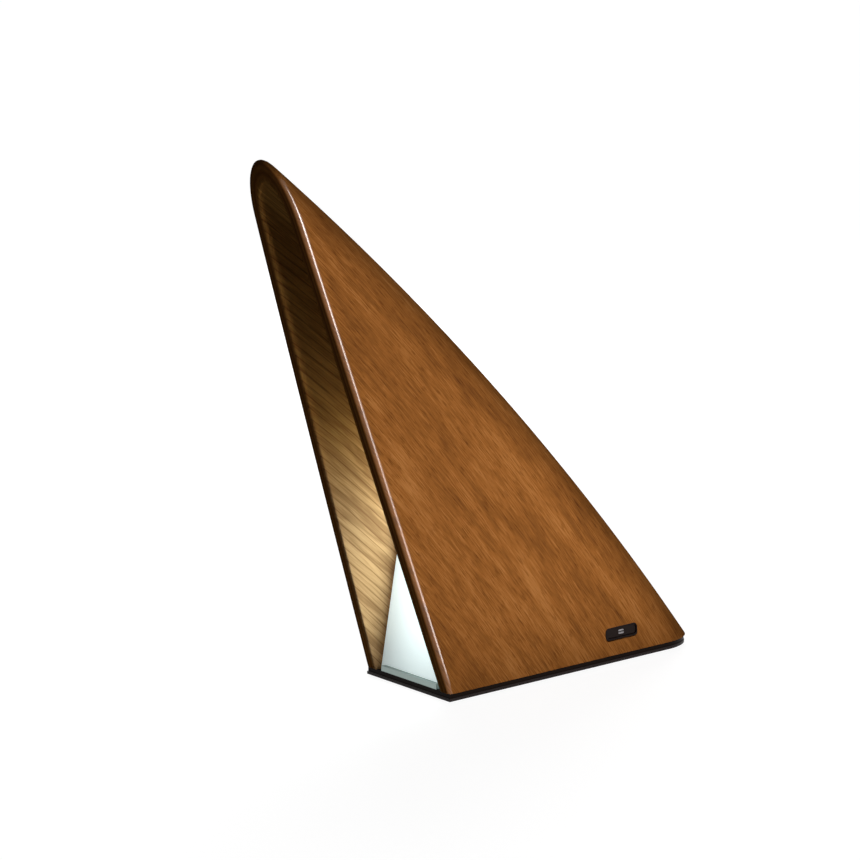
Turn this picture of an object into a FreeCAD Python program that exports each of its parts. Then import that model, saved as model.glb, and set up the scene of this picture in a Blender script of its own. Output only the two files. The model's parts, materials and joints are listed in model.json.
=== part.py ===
import FreeCAD, Part
import os
from collections import namedtuple
from math import acos, atan2, cos, degrees, hypot, radians, sin, sqrt, tan

# Bedside lamp: a folded hood of moulded plywood leans forward over an upright light panel.
# Millimetres. The front faces -Y, +Z is up, and the origin is on the table under the
# middle of the foot.

Vector = FreeCAD.Vector
RIGHT = Vector(1, 0, 0)
BACK = Vector(0, 1, 0)
UP = Vector(0, 0, 1)

# Hood
SHELL_HEIGHT = 270.0        # ridge tip above the hood's foot
FOOT_DEPTH = 177.0          # front edge to the ridge, along the foot
FRONT_WIDTH = 70.0          # outside width at the front of the foot
FRONT_LEAN = 18.0           # degrees that the front edge leans forward
RIDGE_BOW = 10.9            # rise of the ridge above its straight chord
RIDGE_RADIUS = 19.7         # outside radius of the fold
WALL = 8.0
RIM_OUTER_ROUND = 1.4       # softening of the front edge, outside
RIM_INNER_ROUND = 1.0       # and inside
HOOD_MARGIN = 25.0          # how far the untrimmed hood runs past its cuts

# Base stack, from the table up
PAD_THICK = 0.8
PAD_INSET = 4.0
PLATE_THICK = 1.5
PLATE_INSET = 0.4
FLANGE_THICK = 2.4
FLANGE_INSET = 0.8
RIM_WALL = 2.0              # upstand that locates the hood on the tray
RIM_HEIGHT = 5.0
BODY_FIT = 0.3              # clearance between the hood and what stands inside it

# Light panel and light box, measured back from the panel's front face
PANEL_SETBACK = 3.2         # panel behind the hood's front edge, at the foot
PANEL_LEAN = 5.5            # degrees that the panel leans back
PANEL_THICK = 3.0
RAIL_HEIGHT = 2.7
RAIL_SHORT = 3.5            # each end of the rail from the hood's inside
BOX_DEPTH = 16.0
BOX_WALL = 1.4
LED_BOARD_THICK = 1.6
LED_BOARD_LOW = 14.0        # lower edge above the foot
LED_BOARD_HEIGHT = 60.0
LED_BOARD_MARGIN = 2.5      # board edge to the light box's side wall
LED_ROWS = 6
LED_COLUMN_GAP = 8.0
LED_ROW_GAP = 9.0
LED_WIDTH = 2.8
LED_LENGTH = 3.5
LED_THICK = 0.8
WINDOW_MARGIN = 0.6         # window in the light box, clear of the screw bosses
SINK_PLATE = 2.5
SINK_LAP = 1.5              # heat sink beyond the board at top and bottom
FIN_COUNT = 5
FIN_GAP = 3.0
FIN_THICK = 1.2
FIN_DEPTH = 7.0

# Battery, standing upright behind the heat sink
CELL_RADIUS = 9.15
CELL_LENGTH = 49.8
CELL_FIT = 0.15
CELL_CHAMFER = 0.6
HOLDER_WALL = 1.6
HOLDER_END = 2.0
HOLDER_GAP = 1.0            # holder behind the fins
CONTACT_SPACE = 1.5         # between an end of the cell and the holder's end wall
CONTACT_THICK = 0.5
CONTACT_SIDE = 10.0
NUB_RADIUS = 2.5

# Control board and charging socket
CONTROL_LENGTH = 31.0
CONTROL_THICK = 1.2
CONTROL_RISE = 5.5          # board's underside above the tray's floor
CONTROL_GAP = 0.6           # board edge to the switch board
PORT_LENGTH = 4.0           # lead connectors on the front edge of the board
PORT_WIDTH = 4.2
PORT_HEIGHT = 3.4
COIL_RADIUS = 3.0
COIL_HEIGHT = 2.8
CHIP_SIDE = 4.0
CHIP_THICK = 1.0
TONGUE_LENGTH = 5.5         # narrow end of the board that carries the socket
TONGUE_WIDTH = 9.4
SOCKET_WIDTH = 8.94
SOCKET_HEIGHT = 3.26
SOCKET_LENGTH = 7.35
SOCKET_WALL = 0.3
SOCKET_OVERHANG = 3.0
SOCKET_DEPTH = 9.0          # socket's mouth below the ridge's surface
CONTACT_TONGUE_WIDTH = 6.7
CONTACT_TONGUE_THICK = 0.7
CONTACT_TONGUE_SHORT = 0.8  # tongue's end behind the mouth
PLUG_WIDTH = 12.8           # recess for the plug's grip
PLUG_HEIGHT = 6.8
LINER_WALL = 1.1
LINER_BACK = 0.9
LINER_RECESS = 0.15         # liner below the wood's surface
LINER_FIT = 0.1

# Push button, low on the right side near the back
BUTTON_FROM_BACK = 56.5     # from the ridge, along the foot
BUTTON_RISE = 11.3          # above the foot
BEZEL_LENGTH = 23.0
BEZEL_HEIGHT = 6.8
BEZEL_CORNER = 2.5
BEZEL_WALL = 0.8
BEZEL_RECESS = 0.1
BEZEL_FIT = 0.1
BEZEL_FLANGE = 1.2
BEZEL_SEAT = 0.05           # glue line between the flange and the wood
BEZEL_LAP = 1.3
BEZEL_POST_LAP = 4.6        # flange beyond the bezel at each end, for the screw posts
CAP_FIT = 0.12
CAP_RECESS = 0.7
CAP_FLANGE = 0.8
CAP_LAP = 0.6
CAP_REST_GAP = 0.05         # flange behind the bezel at rest
CAP_CROWN = 0.4             # softening of the cap's face
CAP_TRAVEL = 0.6
LIGHT_MARK_LENGTH = 3.8
LIGHT_MARK_HEIGHT = 2.2
LIGHT_MARK_CORNER = 0.5
LIGHT_MARK_DEPTH = 0.9
LIGHT_MARK_FIT = 0.03
PLUNGER_RADIUS = 1.5
PLUNGER_STAND = 0.9
PLUNGER_FIT = 0.05
SWITCH_SIDE = 6.0
SWITCH_BODY = 1.8
SWITCH_BOARD_THICK = 1.0
SWITCH_BOARD_HEIGHT = 7.0
POST_RADIUS = 1.7

# Fasteners, by radius
PLATE_SCREW_HEAD = 2.4
PLATE_SCREW_SHANK = 1.25
PLATE_SCREW_GRIP = 6.0      # thread held in the boss
WOOD_SCREW_HEAD = 2.6
WOOD_SCREW_HEAD_HEIGHT = 1.6
WOOD_SCREW_SHANK = 1.4
WOOD_SCREW_GRIP = 11.0
SMALL_SCREW_HEAD = 1.7
SMALL_SCREW_HEAD_HEIGHT = 1.2
SMALL_SCREW_SHANK = 0.9
SMALL_SCREW_GRIP = 3.0
HEAD_CHAMFER = 0.5
SCREW_SLACK = 0.05
SCREW_LAND = 0.8            # solid left past a blind hole
BOSS_WALL = 1.4
BOX_BOSS_IN = 4.5           # plate screw's boss from the light box's side wall
WOOD_SCREW_FRONT = 26.0     # from the front edge
WOOD_SCREW_BACK = 90.0      # from the ridge
BOARD_HOLE_EDGE = 2.3

# Leads inside the lamp
LEAD_RADIUS = 0.7
LEAD_BEND_SHARE = 0.45      # of the shorter run, taken by each bend
LEAD_APART = 0.7            # between the two leads in one connector
LEAD_CHANNEL = 3.0          # middle of a lead beside or behind the battery
LEAD_DROP = 7.0             # lead below the LED board before it turns back
LEAD_STRAIGHT = 7.0         # straight run into a connector
LEAD_STANDOFF = 3.6         # lead out from the switch board before it turns down

BENCH_SPAN = 4 * FRONT_WIDTH
ON_FACE = 0.03              # how near a point on a face has to be
Screw = namedtuple("Screw", "head head_height shank")
PLATE_SCREW = Screw(PLATE_SCREW_HEAD, PLATE_THICK, PLATE_SCREW_SHANK)
WOOD_SCREW = Screw(WOOD_SCREW_HEAD, WOOD_SCREW_HEAD_HEIGHT, WOOD_SCREW_SHANK)
SMALL_SCREW = Screw(SMALL_SCREW_HEAD, SMALL_SCREW_HEAD_HEIGHT, SMALL_SCREW_SHANK)

# Levels and the ridge's circle
Y_FRONT = -FOOT_DEPTH / 2
Y_BACK = FOOT_DEPTH / 2
Z_PLATE = PAD_THICK
Z_TRAY = Z_PLATE + PLATE_THICK
Z_FOOT = Z_TRAY + FLANGE_THICK
Z_TOP = Z_FOOT + SHELL_HEIGHT


def front_y(z):
    return Y_FRONT - (z - Z_FOOT) * tan(radians(FRONT_LEAN))


def ridge_circle():
    # Circle in the YZ plane through the tip of the hood and the back of its foot
    rise = SHELL_HEIGHT
    run = Y_BACK - front_y(Z_TOP)
    chord = hypot(run, rise)
    radius = (chord * chord / 4 + RIDGE_BOW * RIDGE_BOW) / (2 * RIDGE_BOW)
    drop = radius - RIDGE_BOW
    centre_y = (Y_BACK + front_y(Z_TOP)) / 2 - drop * rise / chord
    centre_z = (Z_FOOT + Z_TOP) / 2 - drop * run / chord
    return centre_y, centre_z, radius


AXIS_Y, AXIS_Z, RIDGE_ARC = ridge_circle()
FRONT_DEPTH = RIDGE_ARC - hypot(Y_FRONT - AXIS_Y, Z_FOOT - AXIS_Z)
# Half angle of the fold that gives the foot its width at the front
FOLD = (acos(RIDGE_RADIUS / hypot(FRONT_WIDTH / 2, FRONT_DEPTH - RIDGE_RADIUS))
        - atan2(FRONT_DEPTH - RIDGE_RADIUS, FRONT_WIDTH / 2))


def depth_below_ridge(y, z):
    return RIDGE_ARC - hypot(y - AXIS_Y, z - AXIS_Z)


def half_width(inset, y, z):
    # Half width of the hood at a point of its middle plane, set in by inset all round
    depth = depth_below_ridge(y, z)
    radius = RIDGE_RADIUS - inset
    bend_end = RIDGE_RADIUS - radius * sin(FOLD)
    if depth < bend_end:
        return sqrt(radius * radius - (RIDGE_RADIUS - depth) ** 2)
    return radius * cos(FOLD) + (depth - bend_end) * tan(FOLD)


def ridge_y(inset, z):
    return AXIS_Y + sqrt((RIDGE_ARC - inset) ** 2 - (z - AXIS_Z) ** 2)


def depth_in_wall(point):
    # Distance of a point inward from the hood's outer face
    depth = depth_below_ridge(point.y, point.z)
    side = abs(point.x)
    if atan2(side, RIDGE_RADIUS - depth) < radians(90) - FOLD:
        return RIDGE_RADIUS - hypot(side, RIDGE_RADIUS - depth)
    return (half_width(0, point.y, point.z) - side) * cos(FOLD)


# Stations along the lamp, worked out from the sizes above
INSIDE = WALL + BODY_FIT
PANEL_Y = Y_FRONT + PANEL_SETBACK
BOX_FRONT = PANEL_THICK
BOX_BACK = BOX_FRONT + BOX_DEPTH
BOARD_BACK = BOX_BACK + LED_BOARD_THICK
SINK_BACK = BOARD_BACK + SINK_PLATE
FIN_BACK = SINK_BACK + FIN_DEPTH
LED_BOARD_TOP = LED_BOARD_LOW + LED_BOARD_HEIGHT


def lean_y(back, z):
    # Y of the plane that lies so far behind the light panel's face
    lean = radians(PANEL_LEAN)
    return PANEL_Y + back / cos(lean) + (z - Z_FOOT) * tan(lean)


def led_board_half():
    # The board is as wide as the light box lets it be at its upper edge
    top = Z_FOOT + LED_BOARD_TOP
    return half_width(INSIDE + BOX_WALL, lean_y(BOX_BACK, top), top) - LED_BOARD_MARGIN


LED_BOARD_HALF = led_board_half()
SMALL_BOSS = SMALL_SCREW_SHANK + BOSS_WALL
ENGINE_SCREW_X = LED_BOARD_HALF - SMALL_BOSS
ENGINE_SCREW_UP = (LED_BOARD_LOW + SMALL_BOSS, LED_BOARD_TOP - SMALL_BOSS)

HOLDER_HALF = CELL_RADIUS + CELL_FIT + HOLDER_WALL
BAY_LOW = Z_FOOT + HOLDER_END
BAY_TOP = BAY_LOW + CELL_LENGTH + 2 * CONTACT_SPACE
HOLDER_TOP = BAY_TOP + HOLDER_END
HOLDER_FRONT = lean_y(FIN_BACK, HOLDER_TOP) + HOLDER_GAP
CELL_Y = HOLDER_FRONT + HOLDER_HALF
HOLDER_BACK = CELL_Y + HOLDER_WALL

CONTROL_Z = Z_FOOT + CONTROL_RISE
CONTROL_TOP = CONTROL_Z + CONTROL_THICK
SOCKET_Z = CONTROL_TOP + SOCKET_HEIGHT / 2
MOUTH_Y = ridge_y(0, SOCKET_Z) - SOCKET_DEPTH
CONTROL_Y1 = MOUTH_Y - SOCKET_OVERHANG - TONGUE_LENGTH
CONTROL_Y0 = CONTROL_Y1 - CONTROL_LENGTH
PORT_Y = CONTROL_Y0 + BODY_FIT
PORT_Z = CONTROL_TOP + PORT_HEIGHT / 2

# Depths of the button's pieces below the wood's face
FLANGE_FRONT = WALL + BEZEL_SEAT
FLANGE_BACK = FLANGE_FRONT + BEZEL_FLANGE
CAP_FLANGE_FRONT = FLANGE_BACK + CAP_REST_GAP
CAP_BACK = CAP_FLANGE_FRONT + CAP_FLANGE
SWITCH_FRONT = CAP_BACK + PLUNGER_STAND
SWITCH_BOARD_FRONT = SWITCH_FRONT + SWITCH_BODY
SWITCH_BOARD_BACK = SWITCH_BOARD_FRONT + SWITCH_BOARD_THICK
POST_ALONG = BEZEL_LENGTH / 2 + BEZEL_POST_LAP - POST_RADIUS
BUTTON_Y = Y_BACK - BUTTON_FROM_BACK
BUTTON_Z = Z_FOOT + BUTTON_RISE
CONTROL_HALF = half_width(SWITCH_BOARD_BACK, BUTTON_Y + POST_ALONG, BUTTON_Z) - CONTROL_GAP
PORT_X = CONTROL_HALF - PORT_WIDTH / 2
TILT = FreeCAD.Placement(Vector(0, PANEL_Y, Z_FOOT), FreeCAD.Rotation(RIGHT, -PANEL_LEAN))


def button_placement():
    # X along the button, Y up the side, Z out of the wood
    around = atan2(BUTTON_Y - AXIS_Y, BUTTON_Z - AXIS_Z)
    out = Vector(cos(FOLD), sin(FOLD) * sin(around), sin(FOLD) * cos(around))
    along = Vector(-out.y, out.x, 0)
    along.normalize()
    centre = Vector(half_width(0, BUTTON_Y, BUTTON_Z), BUTTON_Y, BUTTON_Z)
    return FreeCAD.Placement(centre, FreeCAD.Rotation(along, out.cross(along), out, "ZXY"))


BUTTON = button_placement()


# General shapes
def placed(shape, placement):
    moved = shape.copy()
    moved.Placement = placement.multiply(shape.Placement)
    return moved


def box(x0, x1, y0, y1, z0, z1):
    return Part.makeBox(x1 - x0, y1 - y0, z1 - z0, Vector(x0, y0, z0))


def rounded_plate(length, width, corner, z0, z1):
    # Upright block with rounded corners, centred on the Z axis
    block = box(-length / 2, length / 2, -width / 2, width / 2, z0, z1)
    uprights = [edge for edge in block.Edges if edge.BoundBox.ZLength > (z1 - z0) / 2]
    return block.makeFillet(corner, uprights)


def side_prism(points):
    # Outline in the YZ plane, wider than the lamp
    corners = [Vector(-BENCH_SPAN / 2, y, z) for y, z in points]
    outline = Part.makePolygon(corners + corners[:1])
    return Part.Face(outline).extrude(Vector(BENCH_SPAN, 0, 0))


def hood(inset):
    # Everything inside the hood's face, set in by inset: a folded section turned about the ridge's axis
    radius = RIDGE_RADIUS - inset
    reach = FRONT_DEPTH + HOOD_MARGIN
    bend_x = radius * cos(FOLD)
    bend_depth = RIDGE_RADIUS - radius * sin(FOLD)
    reach_x = bend_x + (reach - bend_depth) * tan(FOLD)

    def at(x, depth):
        return Vector(x, AXIS_Y, AXIS_Z + RIDGE_ARC - depth)

    fold = Part.Arc(at(-bend_x, bend_depth), at(0, inset), at(bend_x, bend_depth)).toShape()
    left = Part.makeLine(at(-reach_x, reach), at(-bend_x, bend_depth))
    right = Part.makeLine(at(bend_x, bend_depth), at(reach_x, reach))
    across = Part.makeLine(at(reach_x, reach), at(-reach_x, reach))
    section = Part.Face(Part.Wire([left, fold, right, across]))
    margin = degrees(HOOD_MARGIN / RIDGE_ARC)
    start = degrees(atan2(Y_BACK - AXIS_Y, Z_FOOT - AXIS_Z)) + margin
    end = degrees(atan2(front_y(Z_TOP) - AXIS_Y, Z_TOP - AXIS_Z)) - margin
    centre = Vector(0, AXIS_Y, AXIS_Z)
    return section.rotated(centre, RIGHT, -start).revolve(centre, RIGHT, start - end)


def behind_panel(inset, front, back, low):
    # Slice of the hood's inside between two planes parallel to the light panel
    top = Z_TOP
    slab = side_prism([(lean_y(front, low), low), (lean_y(back, low), low),
                       (lean_y(back, top), top), (lean_y(front, top), top)])
    return hood(inset).common(slab)


def foot_face(inset):
    # Outline of the hood at its foot, set in by inset
    front = Y_FRONT + inset
    slab = box(-FRONT_WIDTH, FRONT_WIDTH, front, Y_BACK + HOOD_MARGIN, Z_FOOT, Z_FOOT + HOOD_MARGIN)
    solid = hood(inset).common(slab)
    return min(solid.Faces, key=lambda face: face.CenterOfMass.z)


def foot_slab(inset, low, thick):
    return foot_face(inset).translated(Vector(0, 0, low - Z_FOOT)).extrude(Vector(0, 0, thick))


def countersunk(screw, length, slack=0.0):
    # Screw standing on its head's face, or its hole with slack all round
    head = Part.makeCone(screw.head + slack, screw.shank + slack, screw.head_height)
    return head.fuse(Part.makeCylinder(screw.shank + slack, length + slack)).removeSplitter()


def panhead(screw, length):
    # Screw pointing down from the underside of its head, which lies at zero
    head = Part.makeCylinder(screw.head, screw.head_height)
    rim = [edge for edge in head.Edges if edge.BoundBox.ZMin > screw.head_height / 2]
    head = head.makeChamfer(HEAD_CHAMFER, rim)
    return head.fuse(Part.makeCylinder(screw.shank, length, Vector(), -UP)).removeSplitter()


def screw_hole(screw, length):
    return Part.makeCylinder(screw.shank + SCREW_SLACK, length + SCREW_SLACK, Vector(), -UP)


def tube(points):
    # Insulated lead along straight runs joined by arcs
    corners = [Vector(*point) for point in points]
    edges = []
    start = corners[0]
    for before, corner, after in zip(corners, corners[1:], corners[2:]):
        arrive = (corner - before).normalize()
        leave = (after - corner).normalize()
        cut = LEAD_BEND_SHARE * min(corner.distanceToPoint(before), after.distanceToPoint(corner))
        bend_start = corner - arrive * cut
        bend_end = corner + leave * cut
        half_turn = arrive.getAngle(leave) / 2
        radius = cut / tan(half_turn)
        inward = (leave - arrive).normalize()
        middle = corner + inward * (radius / cos(half_turn) - radius)
        edges.append(Part.makeLine(start, bend_start))
        edges.append(Part.Arc(bend_start, middle, bend_end).toShape())
        start = bend_end
    edges.append(Part.makeLine(start, corners[-1]))
    path = Part.Wire(edges)
    ring = Part.Wire(Part.makeCircle(LEAD_RADIUS, corners[0], corners[1] - corners[0]))
    return path.makePipeShell([ring], True, False)


def mirrored_pair(x, y):
    return [Vector(side * x, y, 0) for side in (-1, 1)]


# Places of the screws
def wood_screw_places():
    places = []
    for y in (Y_FRONT + WOOD_SCREW_FRONT, Y_BACK - WOOD_SCREW_BACK):
        places += mirrored_pair(half_width(WALL / 2, y, Z_FOOT), y)
    return places


PLATE_BOSS = PLATE_SCREW_SHANK + BOSS_WALL
BOX_SCREW_Y = lean_y(BOX_BACK - BOX_WALL, Z_FOOT + PLATE_SCREW_GRIP) - PLATE_BOSS - BOX_WALL
BOX_SCREW_X = half_width(INSIDE + BOX_WALL, BOX_SCREW_Y, Z_FOOT) - BOX_BOSS_IN
REAR_SCREW_Y = (CONTROL_Y0 + CONTROL_Y1) / 2
REAR_SCREW_GRIP = CONTROL_RISE - 2 * SCREW_LAND


def plate_screw_lengths():
    # Place and length of each screw that holds the bottom plate
    through = PLATE_THICK + FLANGE_THICK
    front = [(place, through + PLATE_SCREW_GRIP) for place in mirrored_pair(BOX_SCREW_X, BOX_SCREW_Y)]
    return front + [(Vector(0, REAR_SCREW_Y, 0), through + REAR_SCREW_GRIP)]


def control_screw_places():
    # One on the left, behind its lead connector, and two at the back
    front_y0 = PORT_Y + PORT_LENGTH + BODY_FIT + SMALL_SCREW_HEAD
    back = mirrored_pair(CONTROL_HALF - BOARD_HOLE_EDGE, CONTROL_Y1 - BOARD_HOLE_EDGE)
    return [Vector(-CONTROL_HALF / 2, front_y0, 0)] + back


HOLDER_SCREW_GRIP = FLANGE_THICK - SCREW_LAND
HOLDER_EAR = SMALL_SCREW_HEAD + BOSS_WALL / 2


def holder_screw_places():
    # One ear on each side of the holder, at its foot
    return mirrored_pair(HOLDER_HALF + HOLDER_EAR, HOLDER_FRONT + HOLDER_EAR)


def engine_screw_places():
    sides = (-ENGINE_SCREW_X, ENGINE_SCREW_X)
    return [Vector(x, SINK_BACK, up) for x in sides for up in ENGINE_SCREW_UP]


def switch_screw_places():
    return [Vector(side * POST_ALONG, 0, -SWITCH_BOARD_BACK) for side in (-1, 1)]


HEAD_BACK = FreeCAD.Rotation(RIGHT, -90)     # turns a panhead so that its head faces back
HEAD_IN = FreeCAD.Rotation(RIGHT, 180)       # and into the lamp, in the button's frame
ENGINE_SCREW_LENGTH = SINK_PLATE + LED_BOARD_THICK + BOX_WALL + SMALL_SCREW_GRIP
SWITCH_SCREW_LENGTH = SWITCH_BOARD_THICK + SMALL_SCREW_GRIP - SCREW_LAND


def engine_tool(shape):
    # Copies of a screw or its hole at the places of the engine screws
    turned = [FreeCAD.Placement(place, HEAD_BACK) for place in engine_screw_places()]
    return [placed(shape, TILT.multiply(place)) for place in turned]


def switch_tool(shape):
    turned = [FreeCAD.Placement(place, HEAD_IN) for place in switch_screw_places()]
    return [placed(shape, BUTTON.multiply(place)) for place in turned]


# Hood
def rim_edges(shell, inset):
    # Edges of the front opening that lie so far inside the outer face
    found = []
    for edge in shell.Edges:
        middle = edge.valueAt((edge.FirstParameter + edge.LastParameter) / 2)
        on_front = abs(middle.y - front_y(middle.z)) < ON_FACE
        if on_front and abs(depth_in_wall(middle) - inset) < ON_FACE:
            found.append(edge)
    return found


def socket_prism(width, height, y0, y1):
    # Level bar with round ends, along Y at the socket's height
    radius = height / 2
    flat = width / 2 - radius

    def at(x, up):
        return Vector(x, y0, SOCKET_Z + up)

    right = Part.Arc(at(flat, -radius), at(flat + radius, 0), at(flat, radius)).toShape()
    left = Part.Arc(at(-flat, radius), at(-flat - radius, 0), at(-flat, -radius)).toShape()
    top = Part.makeLine(at(flat, radius), at(-flat, radius))
    bottom = Part.makeLine(at(-flat, -radius), at(flat, -radius))
    return Part.Face(Part.Wire([bottom, right, top, left])).extrude(Vector(0, y1 - y0, 0))


def button_cut(lap, depth0, depth1):
    # Block in the button's outline, grown by lap, between two depths below the wood's face
    length = BEZEL_LENGTH + 2 * lap
    height = BEZEL_HEIGHT + 2 * lap
    return placed(rounded_plate(length, height, BEZEL_CORNER + lap, -depth1, -depth0), BUTTON)


def make_wood_shell():
    high = Z_TOP + HOOD_MARGIN
    side = side_prism([(Y_FRONT, Z_FOOT), (Y_BACK + HOOD_MARGIN, Z_FOOT),
                       (Y_BACK + HOOD_MARGIN, high), (front_y(high), high)])
    shell = hood(0).common(side).cut(hood(WALL))
    shell = shell.makeFillet(RIM_OUTER_ROUND, rim_edges(shell, 0))
    shell = shell.makeFillet(RIM_INNER_ROUND, rim_edges(shell, WALL))
    shell = shell.cut(button_cut(BEZEL_FIT, -WALL, 2 * WALL))
    liner_width = PLUG_WIDTH + 2 * (LINER_WALL + LINER_FIT)
    liner_height = PLUG_HEIGHT + 2 * (LINER_WALL + LINER_FIT)
    shell = shell.cut(socket_prism(liner_width, liner_height, MOUTH_Y - WALL, Y_BACK + WALL))
    for place in wood_screw_places():
        hole = Part.makeCylinder(WOOD_SCREW_SHANK + SCREW_SLACK, WOOD_SCREW_GRIP + SCREW_LAND)
        shell = shell.cut(hole.translated(place + Vector(0, 0, Z_FOOT)))
    return shell


# Base stack
def make_foot_pad():
    return foot_slab(PAD_INSET, 0, PAD_THICK)


def make_bottom_plate():
    plate = foot_slab(PLATE_INSET, Z_PLATE, PLATE_THICK)
    for place, length in plate_screw_lengths():
        hole = countersunk(PLATE_SCREW, length, SCREW_SLACK)
        plate = plate.cut(hole.translated(place + Vector(0, 0, Z_PLATE)))
    return plate


def make_plate_screws():
    return Part.makeCompound([countersunk(PLATE_SCREW, length).translated(place + Vector(0, 0, Z_PLATE))
                              for place, length in plate_screw_lengths()])


def make_wood_screws():
    screw = countersunk(WOOD_SCREW, FLANGE_THICK + WOOD_SCREW_GRIP)
    return Part.makeCompound([screw.translated(place + Vector(0, 0, Z_TRAY))
                              for place in wood_screw_places()])


def tray_upstand():
    # Low wall inside the hood, from behind the heat sink to the socket
    low = lean_y(FIN_BACK, Z_FOOT) + HOLDER_GAP
    ring = hood(INSIDE).cut(hood(INSIDE + RIM_WALL))
    ring = ring.common(box(-FRONT_WIDTH, FRONT_WIDTH, low, Y_BACK, Z_FOOT, Z_FOOT + RIM_HEIGHT))
    gap = PLUG_WIDTH / 2 + LINER_WALL + RIM_WALL / 2
    ring = ring.cut(box(-gap, gap, CONTROL_Y1, Y_BACK, Z_FOOT, Z_FOOT + RIM_HEIGHT))
    return ring.cut(button_cut(BEZEL_POST_LAP + BODY_FIT, -WALL, 2 * WALL + SWITCH_BOARD_BACK))


def make_base_tray():
    tray = foot_slab(FLANGE_INSET, Z_TRAY, FLANGE_THICK).fuse(tray_upstand())
    for place in control_screw_places():
        tray = tray.fuse(Part.makeCylinder(SMALL_BOSS, CONTROL_RISE, place + Vector(0, 0, Z_FOOT)))
    rear_boss = Part.makeCylinder(PLATE_BOSS, CONTROL_RISE - SCREW_LAND, Vector(0, REAR_SCREW_Y, Z_FOOT))
    tray = tray.fuse(rear_boss).removeSplitter()
    for place in control_screw_places():
        hole = screw_hole(SMALL_SCREW, SMALL_SCREW_GRIP + SCREW_LAND)
        tray = tray.cut(hole.translated(place + Vector(0, 0, CONTROL_Z)))
    for place in holder_screw_places():
        hole = screw_hole(SMALL_SCREW, HOLDER_SCREW_GRIP)
        tray = tray.cut(hole.translated(place + Vector(0, 0, Z_FOOT)))
    for place, length in plate_screw_lengths():
        hole = Part.makeCylinder(PLATE_SCREW_SHANK + SCREW_SLACK, length + SCREW_SLACK)
        tray = tray.cut(hole.translated(place + Vector(0, 0, Z_PLATE)))
    for place in wood_screw_places():
        hole = countersunk(WOOD_SCREW, FLANGE_THICK + WOOD_SCREW_GRIP, SCREW_SLACK)
        tray = tray.cut(hole.translated(place + Vector(0, 0, Z_TRAY)))
    return tray


# Light panel and what lights it
def make_light_panel():
    return behind_panel(INSIDE, 0, PANEL_THICK, Z_FOOT)


def make_panel_rail():
    strip = box(-FRONT_WIDTH, FRONT_WIDTH, Y_FRONT + FLANGE_INSET, PANEL_Y, Z_FOOT, Z_FOOT + RAIL_HEIGHT)
    return hood(INSIDE + RAIL_SHORT).common(strip)


def make_light_box():
    housing = behind_panel(INSIDE, BOX_FRONT, BOX_BACK, Z_FOOT)
    cavity_back = BOX_BACK - BOX_WALL
    housing = housing.cut(behind_panel(INSIDE + BOX_WALL, 0, cavity_back, Z_FOOT + BOX_WALL))
    window_half = ENGINE_SCREW_X - SMALL_BOSS - WINDOW_MARGIN
    window = box(-window_half, window_half, BOX_BACK - 2 * BOX_WALL, BOX_BACK + BOX_WALL,
                 LED_BOARD_LOW + WINDOW_MARGIN, LED_BOARD_TOP - WINDOW_MARGIN)
    housing = housing.cut(placed(window, TILT))
    boss_length = BOX_WALL + SMALL_SCREW_GRIP + SCREW_LAND
    for place in engine_screw_places():
        foot = Vector(place.x, BOX_BACK, place.z)
        boss = Part.makeCylinder(SMALL_BOSS, boss_length, foot, BACK * -1)
        housing = housing.fuse(placed(boss, TILT))
    for place in mirrored_pair(BOX_SCREW_X, BOX_SCREW_Y):
        boss = Part.makeCylinder(PLATE_BOSS, PLATE_SCREW_GRIP + SCREW_LAND, place + Vector(0, 0, Z_FOOT))
        housing = housing.fuse(boss)
    housing = housing.removeSplitter()
    for hole in engine_tool(screw_hole(SMALL_SCREW, ENGINE_SCREW_LENGTH)):
        housing = housing.cut(hole)
    for place, length in plate_screw_lengths():
        hole = Part.makeCylinder(PLATE_SCREW_SHANK + SCREW_SLACK, length + SCREW_SLACK)
        housing = housing.cut(hole.translated(place + Vector(0, 0, Z_PLATE)))
    return housing


def make_led_board():
    half = LED_BOARD_HALF
    board = placed(box(-half, half, BOX_BACK, BOARD_BACK, LED_BOARD_LOW, LED_BOARD_TOP), TILT)
    for hole in engine_tool(screw_hole(SMALL_SCREW, ENGINE_SCREW_LENGTH)):
        board = board.cut(hole)
    return board


def make_led_chips():
    chips = []
    middle = (LED_BOARD_LOW + LED_BOARD_TOP) / 2
    for row in range(LED_ROWS):
        up = middle + (row - (LED_ROWS - 1) / 2) * LED_ROW_GAP
        for x in (-LED_COLUMN_GAP / 2, LED_COLUMN_GAP / 2):
            chip = box(x - LED_WIDTH / 2, x + LED_WIDTH / 2, BOX_BACK - LED_THICK, BOX_BACK,
                       up - LED_LENGTH / 2, up + LED_LENGTH / 2)
            chips.append(placed(chip, TILT))
    return Part.makeCompound(chips)


def make_heat_sink():
    low = LED_BOARD_LOW - SINK_LAP
    high = LED_BOARD_TOP + SINK_LAP
    sink = box(-LED_BOARD_HALF, LED_BOARD_HALF, BOARD_BACK, SINK_BACK, low, high)
    for number in range(FIN_COUNT):
        x = (number - (FIN_COUNT - 1) / 2) * FIN_GAP
        sink = sink.fuse(box(x - FIN_THICK / 2, x + FIN_THICK / 2, SINK_BACK, FIN_BACK, low, high))
    sink = placed(sink.removeSplitter(), TILT)
    for hole in engine_tool(screw_hole(SMALL_SCREW, ENGINE_SCREW_LENGTH)):
        sink = sink.cut(hole)
    return sink


def make_engine_screws():
    return Part.makeCompound(engine_tool(panhead(SMALL_SCREW, ENGINE_SCREW_LENGTH)))


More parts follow.
